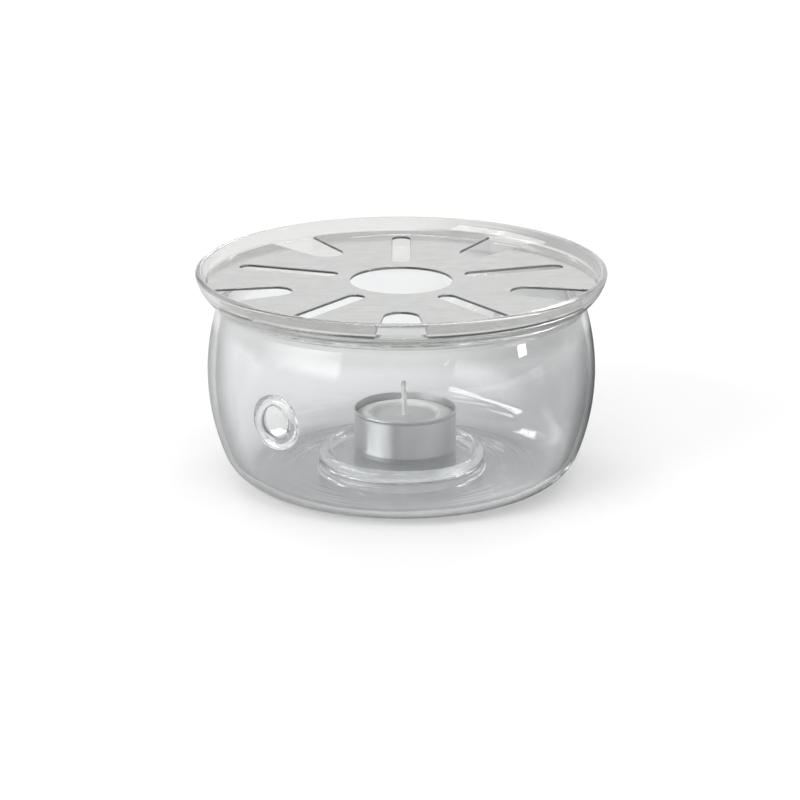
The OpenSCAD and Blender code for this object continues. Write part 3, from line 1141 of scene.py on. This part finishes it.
def make_floor():
    """A white floor: part of its white is its own, more so where the lamps don't reach."""
    material, shader, add, link = new_material("floor_white")
    set_inputs(shader, {"Roughness": 1, "Specular IOR Level": 0, "Emission Color": WHITE})
    distance = length(add, object_coords(add))
    own_white = soft_remap(add, distance, metres(*FLOOR_WHITE_REACH), FLOOR_WHITE)
    # Painted shadow and painted light on the floor, seen only through and in the object
    share = painted_floor_shadow_and_light(add)
    glow = calculate(add, "MULTIPLY", seen_directly(add), own_white)
    link(calculate(add, "MULTIPLY", glow, share), shader.inputs["Emission Strength"])
    grey = add("ShaderNodeVectorMath", {0: FLOOR_GREY, "Scale": share}, operation="SCALE")
    link(grey.outputs[0], shader.inputs["Base Color"])
    level_sheet("floor", FLOOR_HALF, FLOOR_DROP, material)


def card_material(name):
    """A black sheet with the socket for its own white glow."""
    material, shader, add, link = new_material(name)
    set_inputs(shader, {"Base Color": BLACK, "Specular IOR Level": 0, "Emission Color": WHITE})
    return material, shader.inputs["Emission Strength"], add, link


def way_to(turn, rise):
    """Direction from the bowl; turn is to the right of the camera and rise above the table, in degrees."""
    out, up = math.radians(turn), math.radians(rise)
    return Vector((math.sin(out) * math.cos(up), -math.cos(out) * math.cos(up), math.sin(up)))


def away(way, distance):
    """Point, in millimetres, at a distance from the middle of the bowl."""
    return Vector((0, 0, BOWL_H / 2)) + way * distance


def make_glow_card():
    """A white card on the left, brightest in a band, which gives the soft patch on the front."""
    way = way_to(GLOW_CARD_TURN, GLOW_CARD_RISE)
    across = Vector((-way.y, way.x, 0)).normalized() * GLOW_CARD_HALF_W
    upwards = way.cross(across).normalized() * GLOW_CARD_HALF_H
    middle = away(way, GLOW_CARD_DISTANCE)
    corners = [middle - across - upwards, middle + across - upwards]
    corners += [middle + across + upwards, middle - across + upwards]
    material, glow, add, link = card_material("card_glow")
    # Shares of the card's width and height, and the glow there
    x, _, z = split(add, add("ShaderNodeTexCoord").outputs["Generated"])
    rising = soft_remap(add, z, (0.1, 0.45), (0.9, 3.6))
    falling = soft_remap(add, z, (0.6, 1.0), (1.0, 0.3))
    side = soft_remap(add, x, (0.0, 0.7), (0.3, 1.0))
    band = calculate(add, "MULTIPLY", rising, falling)
    link(calculate(add, "MULTIPLY", band, side), glow)
    card = stage_sheet("card_glow", corners, material)
    hide_from(card, "camera", "diffuse", "shadow")


def make_dark_card():
    """A dark card on the floor, mirrored only in the outside of the glass, which draws its outline."""
    material, glow, add, link = card_material("card_dark")
    edge = RIM_R * MM
    x, _, _ = split(add, object_coords(add))
    dark = soft_remap(add, x, (-edge, edge), DARK_CARD_TONES)
    distance = length(add, object_coords(add))
    link(soft_remap(add, distance, metres(*DARK_CARD_FADE), (dark, DARK_CARD_RIM)), glow)
    card = level_sheet("card_dark", DARK_CARD_HALF, DARK_CARD_DROP, material)
    hide_from(card, "camera", "diffuse", "shadow", "transmission")


def make_world():
    """White all round where it is seen, and a softer light where it lights the object."""
    world = bpy.data.worlds.new("studio")
    bpy.context.scene.world = world
    world.use_nodes = True
    tree = world.node_tree
    add = node_maker(tree)
    background = tree.nodes["Background"]
    background.inputs["Color"].default_value = WHITE
    strength = remap(add, seen_directly(add), (0, 1), (WORLD_LIGHT, 1))
    tree.links.new(strength, background.inputs["Strength"])


def add_softbox(name, turn, rise, distance, size, energy, hidden_from=("glossy",)):
    """A soft lamp aimed at the bowl; unless said otherwise, direct reflections don't show it."""
    way = way_to(turn, rise)
    data = bpy.data.lights.new(name, "AREA")
    data.shape = "RECTANGLE"
    data.size, data.size_y = metres(*size)
    data.energy = energy
    lamp = bpy.data.objects.new(name, data)
    lamp.location = away(way, distance) * MM
    lamp.rotation_euler = (-way).to_track_quat("-Z", "Y").to_euler()
    hide_from(lamp, *hidden_from)
    bpy.context.scene.collection.objects.link(lamp)


def add_lamps():
    """Soft light from above, the left and both sides behind, a side light for the cup and two highlights."""
    inside = ("glossy", "diffuse")
    outside = ("transmission",)
    add_softbox("top", turn=0, rise=80, distance=2600, size=(1500, 1500), energy=10)
    add_softbox("key", turn=-50, rise=32, distance=2200, size=(1100, 900), energy=24)
    add_softbox("side", turn=-80, rise=32, distance=1500, size=(900, 700), energy=18, hidden_from=inside)
    for name, turn in (("rim_left", -150), ("rim_right", 150)):
        add_softbox(name, turn, rise=37, distance=1500, size=(450, 220), energy=3)
    add_softbox("glint", turn=75, rise=9, distance=900, size=(100, 60), energy=0.5, hidden_from=outside)
    add_softbox("strip", turn=0, rise=60, distance=1500, size=(1200, 70), energy=5, hidden_from=outside)


def allow_glass_paths():
    """Lets light go through the many surfaces of thick glass edges before it is given up."""
    settings = bpy.context.scene.cycles
    settings.max_bounces = LIGHT_BOUNCES
    settings.transmission_bounces = LIGHT_BOUNCES
    settings.glossy_bounces = LIGHT_BOUNCES


make_camera()
make_bowl()
make_plate()
make_cup()
make_wax()
make_wick()
finish_clip()
make_floor()
make_glow_card()
make_dark_card()
make_world()
add_lamps()
allow_glass_paths()
bpy.context.scene.view_settings.view_transform = "Standard"
